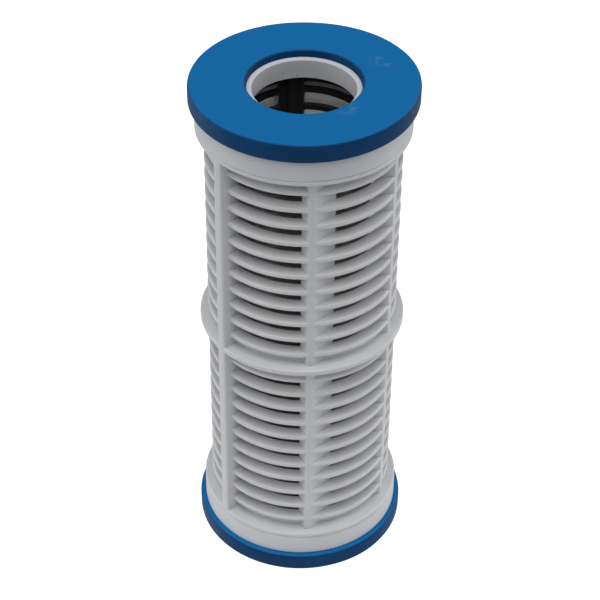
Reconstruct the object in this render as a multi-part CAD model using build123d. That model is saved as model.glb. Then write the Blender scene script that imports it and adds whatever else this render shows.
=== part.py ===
from build123d import *
import math
import os

# Washable filter cartridge for a small water filter housing, open at both ends.
# A finned outer cage and a slotted inner core stand between two end caps. A woven
# mesh sleeve lies on the core, and a flat gasket is pushed onto each cap.
# The cartridge stands on its lower gasket: Z is its axis and z = 0 its lowest face.
# Both ends are the same, so each end part is made once and mirrored.
# Lengths are in millimetres and angles in degrees.

# Overall
HEIGHT = 125.0
MID_HEIGHT = HEIGHT / 2

# Gaskets
GASKET_RADIUS = 25.15
GASKET_THICKNESS = 4.6
GASKET_EDGE = 0.25
GASKET_FIT = 0.05  # radial clearance of the gasket on the spigot

# End caps
CAP_RADIUS = 23.85
CAP_EDGE = 0.3
PLATE_THICKNESS = 1.7
SPIGOT_RADIUS = 12.6
SPIGOT_SETBACK = 1.65  # the spigot ends this far below the gasket's face
SPIGOT_OUTER_EDGE = 0.3
SPIGOT_MOUTH_EDGE = 0.4
BORE_RADIUS = 11.35
SKIRT_INNER_RADIUS = 21.95
COLLAR_INNER_RADIUS = 14.95
COLLAR_OUTER_RADIUS = 16.3
COLLAR_DEPTH = 3.5

# Outer cage
CAGE_BORE_RADIUS = 19.1
FIN_RADIUS = 22.0
FIN_THICKNESS = 1.2
FIN_EDGE = 0.45
FINS_PER_HALF = 11
FIN_PITCH = 4.45
FIRST_FIN_OFFSET = 3.13  # from mid-height to the nearer face of the first fin
RING_RADIUS = 23.85
RING_EDGE = 0.4
MID_RING_THICKNESS = 1.36
END_RING_THICKNESS = 1.15
WALL_THICKNESS = 1.3  # plain wall where the cage has no windows
SLEEVE_RADIUS = 21.9  # plain end of the cage, inside the cap's skirt
SLEEVE_BORE_RADIUS = 20.1
SLEEVE_PLAY = 0.1  # between the sleeve's end and the cap's plate
JOINT_LINE_OFFSET = 52.6  # from mid-height to the cap's rim

# Ribs: each half turn has a tall rib and two low ribs with sloping flanks
HALF_TURNS = 2
TALL_RIB_AZIMUTH = -145.8
TALL_RIB_WIDTH = 2.45
TALL_RIB_EDGE = 0.55
LOW_RIB_EDGE = 0.35
# Low ribs: azimuth of the crest, its width, and the angles from there to the foot of each flank
LOW_RIBS = [
    (-90.0, 1.3, -5.7, 16.6),
    (-28.5, 1.6, -9.0, 7.0),
]

# Inner core
CORE_BORE_RADIUS = 13.4
CORE_RADIUS = 14.6
CORE_SLOT_ROWS = 23
CORE_SLOT_PITCH = 4.495
CORE_SLOT_HEIGHT = 3.3
CORE_END_SLOT_HEIGHT = 1.8  # one more row at each end, cut short by the end of the tube
CORE_SLOT_NEAR = 2.85  # the slots of a row reach from here to there, sideways from the ribbed pillars
CORE_SLOT_FAR = 12.5
CORE_SLOT_CORNER = 0.55
CORE_RIB_AZIMUTH = -82.4
CORE_RIB_OFFSET = -0.3  # the rib stands this far to one side of its pillar's middle
CORE_RIB_WIDTH = 2.35
CORE_RIB_RISE = 0.6
CORE_RIB_EDGE = 0.25

# Filter mesh
MESH_BORE_RADIUS = 14.65
MESH_THICKNESS = 0.2

# Heights that follow from these, for the lower end
PLATE_BOTTOM = GASKET_THICKNESS
PLATE_TOP = PLATE_BOTTOM + PLATE_THICKNESS
CAP_RIM = MID_HEIGHT - JOINT_LINE_OFFSET
CORE_LENGTH = HEIGHT - 2 * PLATE_TOP


def lathe(points, rounded=()):
    """Turn a closed outline of (radius, height) points about the Z axis.

    rounded lists ((radius, height), edge radius) for the corners that are rounded.
    """
    section = make_face(Polyline(*points, close=True))
    for corner, edge_radius in rounded:
        vertex = section.vertices().sort_by_distance(Vector(*corner))[0]
        section = fillet(vertex, edge_radius)
    return revolve(Plane.XZ * section, Axis.Z)


def ring(inner, outer, low, high, outer_edge=0.0, inner_edge=0.0):
    """A flat ring between two heights, with its outer or inner edges rounded."""
    rounded = []
    if outer_edge:
        rounded += [((outer, low), outer_edge), ((outer, high), outer_edge)]
    if inner_edge:
        rounded += [((inner, low), inner_edge), ((inner, high), inner_edge)]
    return lathe([(inner, low), (outer, low), (outer, high), (inner, high)], rounded)


def upper_copy(lower):
    """The same part at the other end of the cartridge."""
    return mirror(lower, about=Plane.XY.offset(MID_HEIGHT))


def make_gasket():
    bore = SPIGOT_RADIUS + GASKET_FIT
    return ring(bore, GASKET_RADIUS, 0, GASKET_THICKNESS, GASKET_EDGE, GASKET_EDGE)


def make_end_cap():
    collar_end = PLATE_TOP + COLLAR_DEPTH
    outline = [
        (BORE_RADIUS, SPIGOT_SETBACK),
        (SPIGOT_RADIUS, SPIGOT_SETBACK),
        (SPIGOT_RADIUS, PLATE_BOTTOM),
        (CAP_RADIUS, PLATE_BOTTOM),
        (CAP_RADIUS, CAP_RIM),
        (SKIRT_INNER_RADIUS, CAP_RIM),
        (SKIRT_INNER_RADIUS, PLATE_TOP),
        (COLLAR_OUTER_RADIUS, PLATE_TOP),
        (COLLAR_OUTER_RADIUS, collar_end),
        (COLLAR_INNER_RADIUS, collar_end),
        (COLLAR_INNER_RADIUS, PLATE_TOP),
        (BORE_RADIUS, PLATE_TOP),
    ]
    rounded = [
        ((BORE_RADIUS, SPIGOT_SETBACK), SPIGOT_MOUTH_EDGE),
        ((SPIGOT_RADIUS, SPIGOT_SETBACK), SPIGOT_OUTER_EDGE),
        ((CAP_RADIUS, PLATE_BOTTOM), CAP_EDGE),
        ((CAP_RADIUS, CAP_RIM), CAP_EDGE),
    ]
    return lathe(outline, rounded)


def fin_heights():
    """Lower face of each fin, for both halves of the cage."""
    heights = []
    for row in range(FINS_PER_HALF):
        offset = FIRST_FIN_OFFSET + row * FIN_PITCH
        heights.append(MID_HEIGHT + offset)
        heights.append(MID_HEIGHT - offset - FIN_THICKNESS)
    return sorted(heights)


def cage_rings():
    """Every turned feature of the cage: fins, rings, plain walls and end sleeves."""
    last_fin_offset = FIRST_FIN_OFFSET + (FINS_PER_HALF - 1) * FIN_PITCH
    wall_radius = CAGE_BORE_RADIUS + WALL_THICKNESS
    rings = [ring(CAGE_BORE_RADIUS, FIN_RADIUS, z, z + FIN_THICKNESS, FIN_EDGE) for z in fin_heights()]

    mid_low = MID_HEIGHT - MID_RING_THICKNESS / 2
    rings.append(ring(CAGE_BORE_RADIUS, RING_RADIUS, mid_low, mid_low + MID_RING_THICKNESS, RING_EDGE))
    wall_low = MID_HEIGHT - FIRST_FIN_OFFSET - FIN_THICKNESS / 2
    wall_high = MID_HEIGHT + FIRST_FIN_OFFSET + FIN_THICKNESS / 2
    rings.append(ring(CAGE_BORE_RADIUS, wall_radius, wall_low, wall_high))

    end_wall_high = MID_HEIGHT - last_fin_offset - FIN_THICKNESS / 2
    sleeve_low = PLATE_TOP + SLEEVE_PLAY
    lower_end = [
        ring(CAGE_BORE_RADIUS, RING_RADIUS, CAP_RIM, CAP_RIM + END_RING_THICKNESS, RING_EDGE),
        ring(CAGE_BORE_RADIUS, wall_radius, CAP_RIM + END_RING_THICKNESS / 2, end_wall_high),
        ring(SLEEVE_BORE_RADIUS, SLEEVE_RADIUS, sleeve_low, CAP_RIM + END_RING_THICKNESS / 2),
    ]
    rings += lower_end
    rings += [upper_copy(part) for part in lower_end]
    return rings


def rib_span():
    """Lowest height and length of the ribs, which run from end ring to end ring."""
    low = CAP_RIM + END_RING_THICKNESS / 2
    return low, HEIGHT - 2 * low


def round_bore(length, low):
    """The cage's bore, to cut what reaches into it."""
    return Pos(0, 0, low) * Cylinder(CAGE_BORE_RADIUS, length, align=(Align.CENTER, Align.CENTER, Align.MIN))


def make_tall_rib():
    """A parallel-sided rib on the +X side, as high as the rings."""
    low, length = rib_span()
    depth = RING_RADIUS - CAGE_BORE_RADIUS + 1
    start = CAGE_BORE_RADIUS - 1
    rib = Pos(start, 0, low) * Box(depth, TALL_RIB_WIDTH, length, align=(Align.MIN, Align.CENTER, Align.MIN))
    crest = rib.edges().filter_by(Axis.Z).group_by(Axis.X)[-1]
    return fillet(crest, TALL_RIB_EDGE) - round_bore(length, low)


def make_low_rib(crest_width, left_foot, right_foot):
    """A rib on the +X side, as high as the fins, with a sloping flank down to each foot angle."""
    low, length = rib_span()
    half_crest = crest_width / 2
    left = math.radians(left_foot)
    right = math.radians(right_foot)
    base = CAGE_BORE_RADIUS
    outline = Polyline(
        (FIN_RADIUS, -half_crest),
        (FIN_RADIUS, half_crest),
        (base * math.cos(right), base * math.sin(right)),
        (base * math.cos(right) - 1, 0),
        (base * math.cos(left), base * math.sin(left)),
        close=True,
    )
    rib = Pos(0, 0, low) * extrude(make_face(outline), length)
    crest = rib.edges().filter_by(Axis.Z).group_by(Axis.X)[-1]
    return fillet(crest, LOW_RIB_EDGE) - round_bore(length, low)


def make_cage():
    tall = make_tall_rib()
    low_ribs = [(azimuth, make_low_rib(*shape)) for azimuth, *shape in LOW_RIBS]
    ribs = []
    for half in range(HALF_TURNS):
        turn = half * 360 / HALF_TURNS
        ribs.append(Rot(0, 0, TALL_RIB_AZIMUTH + turn) * tall)
        ribs += [Rot(0, 0, azimuth + turn) * rib for azimuth, rib in low_ribs]
    first, *rest = ribs + cage_rings()
    return first.fuse(*rest).clean()


def core_slots():
    """Rows of slots through the +X and -X walls of the core, on both sides of the ribbed pillars."""
    rows = []
    for row in range(CORE_SLOT_ROWS):
        height = MID_HEIGHT + (row - (CORE_SLOT_ROWS - 1) / 2) * CORE_SLOT_PITCH
        rows.append((height, CORE_SLOT_HEIGHT))
    full_reach = (CORE_SLOT_ROWS + 1) / 2 * CORE_SLOT_PITCH
    end_reach = full_reach - (CORE_SLOT_HEIGHT - CORE_END_SLOT_HEIGHT) / 2
    rows += [(MID_HEIGHT - end_reach, CORE_END_SLOT_HEIGHT), (MID_HEIGHT + end_reach, CORE_END_SLOT_HEIGHT)]

    width = CORE_SLOT_FAR - CORE_SLOT_NEAR
    slots = []
    for height, slot_height in rows:
        outline = RectangleRounded(width, slot_height, CORE_SLOT_CORNER)
        slot = extrude(Plane.YZ * outline, CORE_RADIUS + 1, both=True)
        for side in (-1, 1):
            slots.append(Pos(0, side * (CORE_SLOT_NEAR + width / 2), height) * slot)
    return slots


def make_core():
    """Tube with rows of rounded slots and a raised rib inside each of two opposite pillars."""
    tube = ring(CORE_BORE_RADIUS, CORE_RADIUS, PLATE_TOP, PLATE_TOP + CORE_LENGTH)
    core = tube.cut(*core_slots())

    rib_depth = CORE_RIB_RISE + 0.5
    rib = Pos(CORE_BORE_RADIUS - CORE_RIB_RISE, CORE_RIB_OFFSET, PLATE_TOP) * Box(
        rib_depth, CORE_RIB_WIDTH, CORE_LENGTH, align=(Align.MIN, Align.CENTER, Align.MIN)
    )
    crest = rib.edges().filter_by(Axis.Z).group_by(Axis.X)[0]
    rib = fillet(crest, CORE_RIB_EDGE)
    core = core.fuse(rib, Rot(0, 0, 180) * rib).clean()
    return Rot(0, 0, CORE_RIB_AZIMUTH) * core


def make_mesh():
    outer = MESH_BORE_RADIUS + MESH_THICKNESS
    return ring(MESH_BORE_RADIUS, outer, PLATE_TOP, PLATE_TOP + CORE_LENGTH)


def main():
    gasket = make_gasket()
    cap = make_end_cap()
    nodes = {
        "bottom_gasket": gasket,
        "top_gasket": upper_copy(gasket),
        "bottom_end_cap": cap,
        "top_end_cap": upper_copy(cap),
        "outer_cage": make_cage(),
        "inner_core": make_core(),
        "filter_mesh": make_mesh(),
    }
    os.makedirs("parts", exist_ok=True)
    for name, shape in nodes.items():
        export_step(shape, f"parts/{name}.step")


main()
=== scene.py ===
import math

import bpy
from mathutils import Matrix, Vector, noise


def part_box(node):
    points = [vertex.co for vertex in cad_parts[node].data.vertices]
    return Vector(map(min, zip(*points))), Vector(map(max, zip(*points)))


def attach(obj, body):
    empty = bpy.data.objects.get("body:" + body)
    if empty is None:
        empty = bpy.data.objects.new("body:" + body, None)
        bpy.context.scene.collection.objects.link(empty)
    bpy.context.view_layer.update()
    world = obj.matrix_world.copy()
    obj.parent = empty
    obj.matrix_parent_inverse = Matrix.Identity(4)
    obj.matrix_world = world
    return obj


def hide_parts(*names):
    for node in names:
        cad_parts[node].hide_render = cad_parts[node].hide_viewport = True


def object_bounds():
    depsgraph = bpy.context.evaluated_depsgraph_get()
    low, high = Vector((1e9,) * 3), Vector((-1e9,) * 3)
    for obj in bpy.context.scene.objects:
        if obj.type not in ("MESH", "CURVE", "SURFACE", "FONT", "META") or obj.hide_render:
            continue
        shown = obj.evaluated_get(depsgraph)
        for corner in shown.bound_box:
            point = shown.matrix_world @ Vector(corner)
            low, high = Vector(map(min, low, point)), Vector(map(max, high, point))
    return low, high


# A washable water filter cartridge: white finned cage and end caps, a black slotted core seen
# through the bore, a woven mesh on the core and a blue gasket on each end.
# Everything is in metres, in the CAD model's own frame: it stands on z = 0 with its axis on Z.

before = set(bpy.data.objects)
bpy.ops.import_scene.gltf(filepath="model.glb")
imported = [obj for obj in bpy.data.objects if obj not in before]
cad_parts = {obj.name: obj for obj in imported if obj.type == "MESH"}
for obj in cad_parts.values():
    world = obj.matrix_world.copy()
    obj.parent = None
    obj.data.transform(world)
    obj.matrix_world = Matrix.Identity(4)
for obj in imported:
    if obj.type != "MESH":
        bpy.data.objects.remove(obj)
cad_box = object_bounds()

MM = 0.001
HEIGHT = cad_box[1][2]

# Mesh sleeve: the lap lies on the core's front pillar
PILLAR_AZIMUTH = math.radians(-82.4)
MESH_LAP = 3 * MM
THREAD_PITCH = 0.20 * MM
THREAD_TRANSLUCENCY = 0.60

# The upper gasket stands off its cap by this much at its +X side
GASKET_LIFT = 0.5 * MM

# Pale smears on the upper gasket's face: centre and reach
SMEARS = [
    ((8.1 * MM, -11.8 * MM, HEIGHT), 3.4 * MM),
    ((17.0 * MM, 6.2 * MM, HEIGHT), 3.8 * MM),
]
# Dark specks on the wall of the upper spigot's bore: centre and reach
BORE_SPECKS = [
    ((-3.94 * MM, 10.65 * MM, 120.4 * MM), 0.20 * MM),
    ((-0.71 * MM, 11.33 * MM, 119.4 * MM), 0.17 * MM),
]

# What the lamps and the surround have in common
LAMP_TINT = (0.98, 0.99, 1.0)
SURROUND_LIGHT = 0.14  # how brightly the surround lights the object
SURROUND_SEEN = 1.06  # how bright it looks to the camera


# ---------------------------------------------------------------- shader building

class Tree:
    """A material's node tree, with a short way to add a node and set its inputs."""

    def __init__(self, name):
        self.material = bpy.data.materials.new(name)
        self.material.use_nodes = True
        self.nodes = self.material.node_tree.nodes
        self.links = self.material.node_tree.links
        self.nodes.clear()
        self.output = self.nodes.new("ShaderNodeOutputMaterial")

    def add(self, kind, settings=None, **inputs):
        """A node with its properties from settings and its inputs from values or sockets."""
        node = self.nodes.new("ShaderNode" + kind)
        for key, value in (settings or {}).items():
            setattr(node, key, value)
        for key, value in inputs.items():
            self.feed(node.inputs[key.replace("_", " ")], value)
        return node

    def feed(self, socket, value):
        if isinstance(value, bpy.types.NodeSocket):
            self.links.new(value, socket)
        else:
            socket.default_value = value

    def math(self, operation, first, second=0.0):
        node = self.add("Math", {"operation": operation})
        self.feed(node.inputs[0], first)
        self.feed(node.inputs[1], second)
        return node.outputs[0]

    def product(self, first, *others):
        for other in others:
            first = self.math("MULTIPLY", first, other)
        return first

    def noise(self, vector, size, detail=2.0, roughness=0.5):
        """Noise from 0 to 1 whose features are about size metres across."""
        node = self.add("TexNoise", Vector=vector, Scale=1 / size, Detail=detail, Roughness=roughness)
        return node.outputs["Fac"]

    def between(self, value, low, high, out_low=0.0, out_high=1.0):
        """Maps value from the range low to high onto the range out_low to out_high, held at its ends."""
        node = self.add("MapRange", {"interpolation_type": "SMOOTHSTEP"})
        node.inputs["From Min"].default_value = low
        node.inputs["From Max"].default_value = high
        node.inputs["To Min"].default_value = out_low
        node.inputs["To Max"].default_value = out_high
        self.feed(node.inputs["Value"], value)
        return node.outputs["Result"]

    def mix(self, amount, first, second):
        """The colour first, going over to the colour second as amount goes from 0 to 1."""
        node = self.add("Mix", {"data_type": "RGBA"})
        self.feed(node.inputs["Factor"], amount)
        self.feed(node.inputs[6], first)
        self.feed(node.inputs[7], second)
        return node.outputs[2]

    def mix_shaders(self, amount, first, second):
        """The shader node first, going over to second as amount goes from 0 to 1."""
        node = self.add("MixShader", Fac=amount)
        self.links.new(first.outputs[0], node.inputs[1])
        self.links.new(second.outputs[0], node.inputs[2])
        return node

    def bump(self, height, distance, under=None):
        """A normal tilted by height, on top of the normal under."""
        node = self.add("Bump", Height=height, Distance=distance, Strength=1.0)
        if under is not None:
            self.links.new(under, node.inputs["Normal"])
        return node.outputs["Normal"]

    def object_point(self):
        return self.add("TexCoord").outputs["Object"]

    def scaled(self, point, *scale):
        """The point with each axis scaled, which stretches a pattern along the small ones."""
        return self.add("Mapping", Vector=point, Scale=scale).outputs[0]

    def near(self, point, centre, reach):
        """1 round a centre, falling to 0 at the distance reach from it."""
        node = self.add("VectorMath", {"operation": "DISTANCE"})
        self.feed(node.inputs[0], point)
        self.feed(node.inputs[1], centre)
        core = 0.35 * reach
        return self.between(node.outputs["Value"], core, reach, 1.0, 0.0)

    def split(self, vector):
        return self.add("SeparateXYZ", Vector=vector).outputs

    def finish(self, shader):
        self.links.new(shader, self.output.inputs["Surface"])
        return self.material


def rgb(red, green, blue):
    return (red, green, blue, 1.0)


# ---------------------------------------------------------------- materials

def white_plastic(name, base, dust_amount, specks=()):
    """Satin white polypropylene: faint flow mottling, moulded grain, dust and a few dark specks."""
    tree = Tree(name)
    point = tree.object_point()
    mottle = tree.noise(point, 9 * MM, detail=3.0)
    darker = rgb(*(0.965 * channel for channel in base[:3]))
    colour = tree.mix(tree.between(mottle, 0.3, 0.7), base, darker)

    speck_field = tree.noise(point, 1.1 * MM, detail=1.0)
    speck = tree.between(speck_field, 0.80, 0.84, 0.0, dust_amount)
    colour = tree.mix(speck, colour, rgb(0.16, 0.14, 0.12))
    for centre, reach in specks:
        colour = tree.mix(tree.near(point, centre, reach), colour, rgb(0.05, 0.045, 0.05))

    grain = tree.noise(point, 0.28 * MM, detail=2.0)
    ripple = tree.noise(point, 3.5 * MM, detail=1.0)
    normal = tree.bump(grain, 0.012 * MM)
    normal = tree.bump(ripple, 0.06 * MM, under=normal)
    gloss = tree.between(tree.noise(point, 5 * MM), 0.3, 0.7, 0.42, 0.52)
    shader = tree.add("BsdfPrincipled", Base_Color=colour, Roughness=gloss, Normal=normal, IOR=1.49)
    shader.inputs["Subsurface Weight"].default_value = 0.06
    shader.inputs["Subsurface Radius"].default_value = (0.0012, 0.0012, 0.0012)
    shader.inputs["Subsurface Scale"].default_value = 1.0
    return tree.finish(shader.outputs[0])


def black_plastic():
    """Black polypropylene of the core: deep, slightly glossy, with faint drag lines along Z."""
    tree = Tree("black_plastic")
    point = tree.object_point()
    drag = tree.noise(tree.scaled(point, 1.0, 1.0, 0.08), 0.35 * MM, detail=2.0)
    mottle = tree.noise(point, 4 * MM)
    colour = tree.mix(mottle, rgb(0.011, 0.011, 0.012), rgb(0.019, 0.019, 0.022))
    normal = tree.bump(drag, 0.02 * MM)
    gloss = tree.between(drag, 0.3, 0.7, 0.34, 0.46)
    shader = tree.add("BsdfPrincipled", Base_Color=colour, Roughness=gloss, Normal=normal, IOR=1.49)
    return tree.finish(shader.outputs[0])


def elastomer():
    """Mid blue gasket elastomer: matt, with rubs and smears; its upright sides are painted darker than
    its flat faces as painted shade, and carry a painted sheen mixed with streaks at left and right.
    """
    tree = Tree("blue_elastomer")
    point = tree.object_point()
    # Painted shade: upright sides get a darker blue than the flat faces, copying how the light falls on
    # them.
    facing = tree.split(tree.add("NewGeometry").outputs["Normal"])["Z"]
    flat = tree.between(tree.math("ABSOLUTE", facing), 0.55, 0.97)
    side = rgb(0.0003, 0.041, 0.136)
    face = rgb(0.0045, 0.158, 0.425)
    colour = tree.mix(flat, side, face)

    cloud = tree.noise(point, 14 * MM, detail=4.0, roughness=0.6)
    colour = tree.mix(tree.between(cloud, 0.35, 0.75, 0.0, 0.20), colour, rgb(0.010, 0.150, 0.400))
    scuff_field = tree.noise(tree.scaled(point, 1.0, 0.35, 1.0), 2.6 * MM, detail=5.0)
    scuff = tree.between(scuff_field, 0.68, 0.82, 0.0, 0.20)
    colour = tree.mix(scuff, colour, rgb(0.060, 0.210, 0.450))

    smear_field = tree.noise(point, 1.6 * MM, detail=4.0)
    smear = tree.between(smear_field, 0.45, 0.75, 0.0, 0.55)
    for centre, reach in SMEARS:
        place = tree.product(tree.near(point, centre, reach), smear)
        colour = tree.mix(place, colour, rgb(0.090, 0.260, 0.500))

    # Partly real streaks, partly a painted sheen: the upright sides get lighter towards |X| 17 to 24 mm,
    # at their left and right.
    streak_field = tree.noise(tree.scaled(point, 1.0, 1.0, 0.12), 0.7 * MM, detail=3.0)
    streak = tree.between(streak_field, 0.30, 0.80, 0.10, 0.26)
    left_or_right = tree.between(tree.math("ABSOLUTE", tree.split(point)["X"]), 17 * MM, 24 * MM)
    upright = tree.math("SUBTRACT", 1.0, flat)
    streaks_and_outline_sheen = tree.product(left_or_right, upright, streak)
    colour = tree.mix(streaks_and_outline_sheen, colour, rgb(0.120, 0.230, 0.340))

    grain = tree.noise(point, 0.22 * MM, detail=2.0)
    waviness = tree.noise(point, 6 * MM, detail=1.0)
    normal = tree.bump(grain, 0.015 * MM)
    normal = tree.bump(waviness, 0.08 * MM, under=normal)
    gloss = tree.between(cloud, 0.3, 0.7, 0.52, 0.66)
    shader = tree.add("BsdfPrincipled", Base_Color=colour, Roughness=gloss, Normal=normal, IOR=1.45)
    shader.inputs["Specular IOR Level"].default_value = 0.15
    return tree.finish(shader.outputs[0])


def woven_mesh(pitch):
    """Plain-weave monofilament mesh, its outer face coloured dark as painted shade. UV runs along the
    threads in metres.
    """
    tree = Tree("filter_weave")
    u, v, _ = tree.split(tree.add("UVMap").outputs[0])
    wave_u = tree.math("SINE", tree.product(u, math.pi / pitch))
    wave_v = tree.math("SINE", tree.product(v, math.pi / pitch))
    warp = tree.math("SUBTRACT", 1.0, tree.math("ABSOLUTE", wave_u))
    weft = tree.math("SUBTRACT", 1.0, tree.math("ABSOLUTE", wave_v))
    over = tree.product(wave_u, wave_v)
    thread = tree.math("MAXIMUM", warp, weft)
    height = tree.math("ADD", thread, tree.product(over, 0.3))
    normal = tree.bump(height, 0.05 * MM)

    shade = tree.between(over, -0.6, 0.6)
    clean = tree.mix(shade, rgb(0.62, 0.61, 0.60), rgb(0.76, 0.75, 0.74))
    # Painted shade: the outer face gets a dark copy of the weave colour, the inner face keeps its own
    # pale colour.
    painted_shade_outer = tree.mix(shade, rgb(0.060, 0.053, 0.046), rgb(0.100, 0.090, 0.080))
    inner_face = tree.add("NewGeometry").outputs["Backfacing"]
    colour = tree.mix(inner_face, painted_shade_outer, clean)

    opaque = tree.add("BsdfPrincipled", Base_Color=colour, Roughness=0.45, Normal=normal)
    translucent = tree.add("BsdfTranslucent", Color=rgb(0.88, 0.87, 0.85), Normal=normal)
    filament = tree.mix_shaders(THREAD_TRANSLUCENCY, opaque, translucent)
    hole = tree.add("BsdfTransparent")
    solid = tree.between(thread, 0.07, 0.17)
    woven = tree.mix_shaders(solid, hole, filament)
    return tree.finish(woven.outputs[0])


def floor_paint():
    """Plain pale floor, as bright to the camera as a lit white backdrop. It lights the object less, but
    round the object it gives off a painted glow that lights the object from below.
    """
    tree = Tree("pale_floor")
    point = tree.object_point()
    tone = tree.mix(tree.noise(point, 0.4, detail=1.0), rgb(0.38, 0.38, 0.38), rgb(0.40, 0.40, 0.40))
    path = tree.add("LightPath").outputs
    through_mesh = tree.math("MINIMUM", path["Transparent Depth"], 1.0)
    seen = tree.product(path["Is Camera Ray"], tree.math("SUBTRACT", 1.0, through_mesh))
    # Painted glow: the floor round the object gives off light and lights the object from below.
    under_object = tree.near(point, (0.0, 0.0, 0.0), 0.35)
    glow = tree.math("MAXIMUM", seen, tree.product(under_object, 0.45))
    shader = tree.add("BsdfPrincipled", Base_Color=tone, Roughness=0.9, Emission_Strength=glow)
    shader.inputs["Emission Color"].default_value = rgb(1.0, 1.0, 1.0)
    return tree.finish(shader.outputs[0])


# ---------------------------------------------------------------- pieces

def add_piece(name, vertices, faces, material):
    data = bpy.data.meshes.new(name)
    data.from_pydata(vertices, [], faces)
    data.validate()
    data.materials.append(material)
    for polygon in data.polygons:
        polygon.use_smooth = True
    piece = bpy.data.objects.new(name, data)
    bpy.context.scene.collection.objects.link(piece)
    return piece


def rounded_section(inner, outer, low, high, edge):
    """A closed (radius, height) section with rounded corners, from the inner low corner round."""
    steps = 5
    centres = [
        (inner + edge, low + edge, 180),
        (outer - edge, low + edge, 270),
        (outer - edge, high - edge, 0),
        (inner + edge, high - edge, 90),
    ]
    section = []
    for radius, height, start in centres:
        for step in range(steps + 1):
            angle = math.radians(start + 90 * step / steps)
            section.append((radius + edge * math.cos(angle), height + edge * math.sin(angle)))
    return section


def divide_sides(section, longest):
    """Adds points so that no straight side of the section is longer than longest."""
    divided = []
    for (r0, z0), (r1, z1) in zip(section, section[1:] + section[:1]):
        count = max(1, math.ceil(math.hypot(r1 - r0, z1 - z0) / longest))
        for step in range(count):
            share = step / count
            divided.append((r0 + (r1 - r0) * share, z0 + (z1 - z0) * share))
    return divided


def turned(section, segments, shift):
    """Vertices and quads of a closed section turned about Z, each vertex moved by shift(point)."""
    count = len(section)
    vertices = []
    for segment in range(segments):
        angle = math.tau * segment / segments
        direction = Vector((math.cos(angle), math.sin(angle), 0))
        for radius, height in section:
            point = direction * radius + Vector((0, 0, height))
            vertices.append(point + shift(point))
    faces = []
    for segment in range(segments):
        following = (segment + 1) % segments
        here, there = segment * count, following * count
        for i in range(count):
            j = (i + 1) % count
            faces.append((here + i, there + i, there + j, here + j))
    return vertices, faces


def ring_bore(node):
    """Inner radius of a CAD ring about Z, from its vertices."""
    return min(math.hypot(v.co.x, v.co.y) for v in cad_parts[node].data.vertices)


def make_gasket(node, body, material, lift=0.0):
    """A moulded ring in the CAD gasket's place: its outer side a little uneven, its +X side lifted."""
    edge = 0.8 * MM
    longest_side = 1.2 * MM
    segments = 240
    wave_height = 0.05 * MM
    waves_per_metre = 90
    low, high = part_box(node)
    outer = high.x
    inner = ring_bore(node)
    middle = (inner + outer) / 2
    section = divide_sides(rounded_section(inner, outer, low.z, high.z, edge), longest_side)

    def shift(point):
        rise = Vector((0, 0, lift * max(0.0, point.x / outer) ** 1.5))
        if math.hypot(point.x, point.y) < middle:
            return rise
        outward = Vector((point.x, point.y, 0)).normalized()
        return rise + outward * wave_height * noise.noise(point * waves_per_metre)

    vertices, faces = turned(section, segments, shift)
    piece = add_piece(node + "_ring", vertices, faces, material)
    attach(piece, body)
    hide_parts(node)


def make_filter_mesh(material):
    """One sheet of mesh rolled round the core, its lap climbing over its start on a pillar."""
    columns, rows = 288, 260
    low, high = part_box("filter_mesh")
    inner = ring_bore("filter_mesh")
    outer = high.x - 0.03 * MM
    radius = (outer + inner) / 2
    climb = 0.6 * (outer - inner)
    turn = math.tau + MESH_LAP / radius
    start = PILLAR_AZIMUTH - MESH_LAP / radius / 2
    vertices, texture = [], []
    for column in range(columns + 1):
        share = column / columns
        angle = start + turn * share
        reach = radius + (share - 0.5) * climb
        for row in range(rows + 1):
            height = low.z + (high.z - low.z) * row / rows
            vertices.append((reach * math.cos(angle), reach * math.sin(angle), height))
            texture.append((angle * radius, height))
    stride = rows + 1
    faces = [
        (c * stride + r, (c + 1) * stride + r, (c + 1) * stride + r + 1, c * stride + r + 1)
        for c in range(columns)
        for r in range(rows)
    ]
    piece = add_piece("filter_mesh_sleeve", vertices, faces, material)
    layer = piece.data.uv_layers.new(name="threads")
    for loop in piece.data.loops:
        layer.data[loop.index].uv = texture[loop.vertex_index]
    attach(piece, "cartridge")
    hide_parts("filter_mesh")


def finish_node(node, material):
    """Gives a carried-over CAD node its finished material."""
    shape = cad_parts[node]
    shape.data.materials.clear()
    shape.data.materials.append(material)


# ---------------------------------------------------------------- stage

def make_floor():
    """A square of floor a hair below the object, so that the two faces don't fight."""
    reach = 3.0
    corners = [(-reach, -reach, 0), (reach, -reach, 0), (reach, reach, 0), (-reach, reach, 0)]
    floor = add_piece("floor", corners, [(0, 1, 2, 3)], floor_paint())
    floor.location.z = -0.02 * MM


def make_world():
    """A dim, even surround for light, as white as the floor where the camera sees it."""
    world = bpy.data.worlds.new("studio")
    world.use_nodes = True
    nodes = world.node_tree.nodes
    links = world.node_tree.links
    background = nodes["Background"]
    background.inputs["Color"].default_value = rgb(0.95, 0.975, 1.0)
    path = nodes.new("ShaderNodeLightPath")
    strength = nodes.new("ShaderNodeMapRange")
    strength.inputs["To Min"].default_value = SURROUND_LIGHT
    strength.inputs["To Max"].default_value = SURROUND_SEEN
    links.new(path.outputs["Is Camera Ray"], strength.inputs["Value"])
    links.new(strength.outputs["Result"], background.inputs["Strength"])
    bpy.context.scene.world = world


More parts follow.
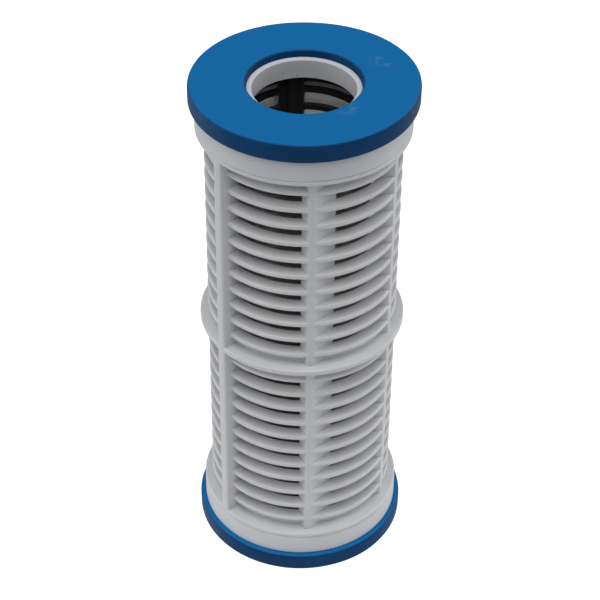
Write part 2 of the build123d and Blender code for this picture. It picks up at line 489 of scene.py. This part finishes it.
def add_softbox(name, place, size, power):
    """A square lamp at a place, aimed at the middle of the object."""
    aim = Vector((0, 0, HEIGHT / 2))
    lamp = bpy.data.lights.new(name, "AREA")
    lamp.shape = "SQUARE"
    lamp.size = size
    lamp.energy = power
    lamp.color = LAMP_TINT
    holder = bpy.data.objects.new(name, lamp)
    holder.location = place
    holder.rotation_euler = (aim - Vector(place)).to_track_quat("-Z", "Y").to_euler()
    bpy.context.scene.collection.objects.link(holder)


def make_lights():
    """A softbox high in front, and a panel on each side that lightens the outline."""
    add_softbox("overhead", (-0.1, -0.42, 1.4), 1.3, 12.5)
    add_softbox("left_panel", (-1.2, 0.3, 0.5), 1.0, 5.5)
    add_softbox("right_panel", (1.2, 0.3, 0.5), 1.0, 7.0)


def make_camera():
    """A long lens looking down from in front, 0.39 m from the upper gasket."""
    azimuth = math.radians(-5.0)
    pitch = math.radians(38.684)
    yaw = math.radians(-0.079)
    roll = math.radians(0.587)
    stand_off = 0.3319
    rise = 0.2056
    level = math.cos(pitch)
    forward = Vector((math.sin(yaw) * level, math.cos(yaw) * level, -math.sin(pitch)))
    right = forward.cross(Vector((0, 0, 1))).normalized()
    up = right.cross(forward)
    across = right * math.cos(roll) + up * math.sin(roll)
    upward = up * math.cos(roll) - right * math.sin(roll)
    pose = Matrix((across, upward, -forward)).transposed().to_4x4()
    pose.translation = Vector((0, -stand_off, HEIGHT + rise))
    camera = bpy.data.cameras.new("camera")
    camera.lens = 108.8
    camera.sensor_width = 36.0
    camera.clip_start = 0.01
    holder = bpy.data.objects.new("camera", camera)
    holder.matrix_world = Matrix.Rotation(azimuth, 4, "Z") @ pose
    bpy.context.scene.collection.objects.link(holder)
    bpy.context.scene.camera = holder


# ---------------------------------------------------------------- build

make_camera()
make_world()
make_lights()
make_floor()
bpy.context.scene.view_settings.view_transform = "Standard"

cage_white = white_plastic("cage_white", rgb(0.72, 0.722, 0.732), 0.35)
cap_white = white_plastic("cap_white", rgb(0.705, 0.72, 0.745), 0.25, BORE_SPECKS)
finish_node("outer_cage", cage_white)
finish_node("top_end_cap", cap_white)
finish_node("bottom_end_cap", cap_white)
finish_node("inner_core", black_plastic())

blue = elastomer()
make_gasket("top_gasket", "top_gasket", blue, GASKET_LIFT)
make_gasket("bottom_gasket", "bottom_gasket", blue)
make_filter_mesh(woven_mesh(THREAD_PITCH))
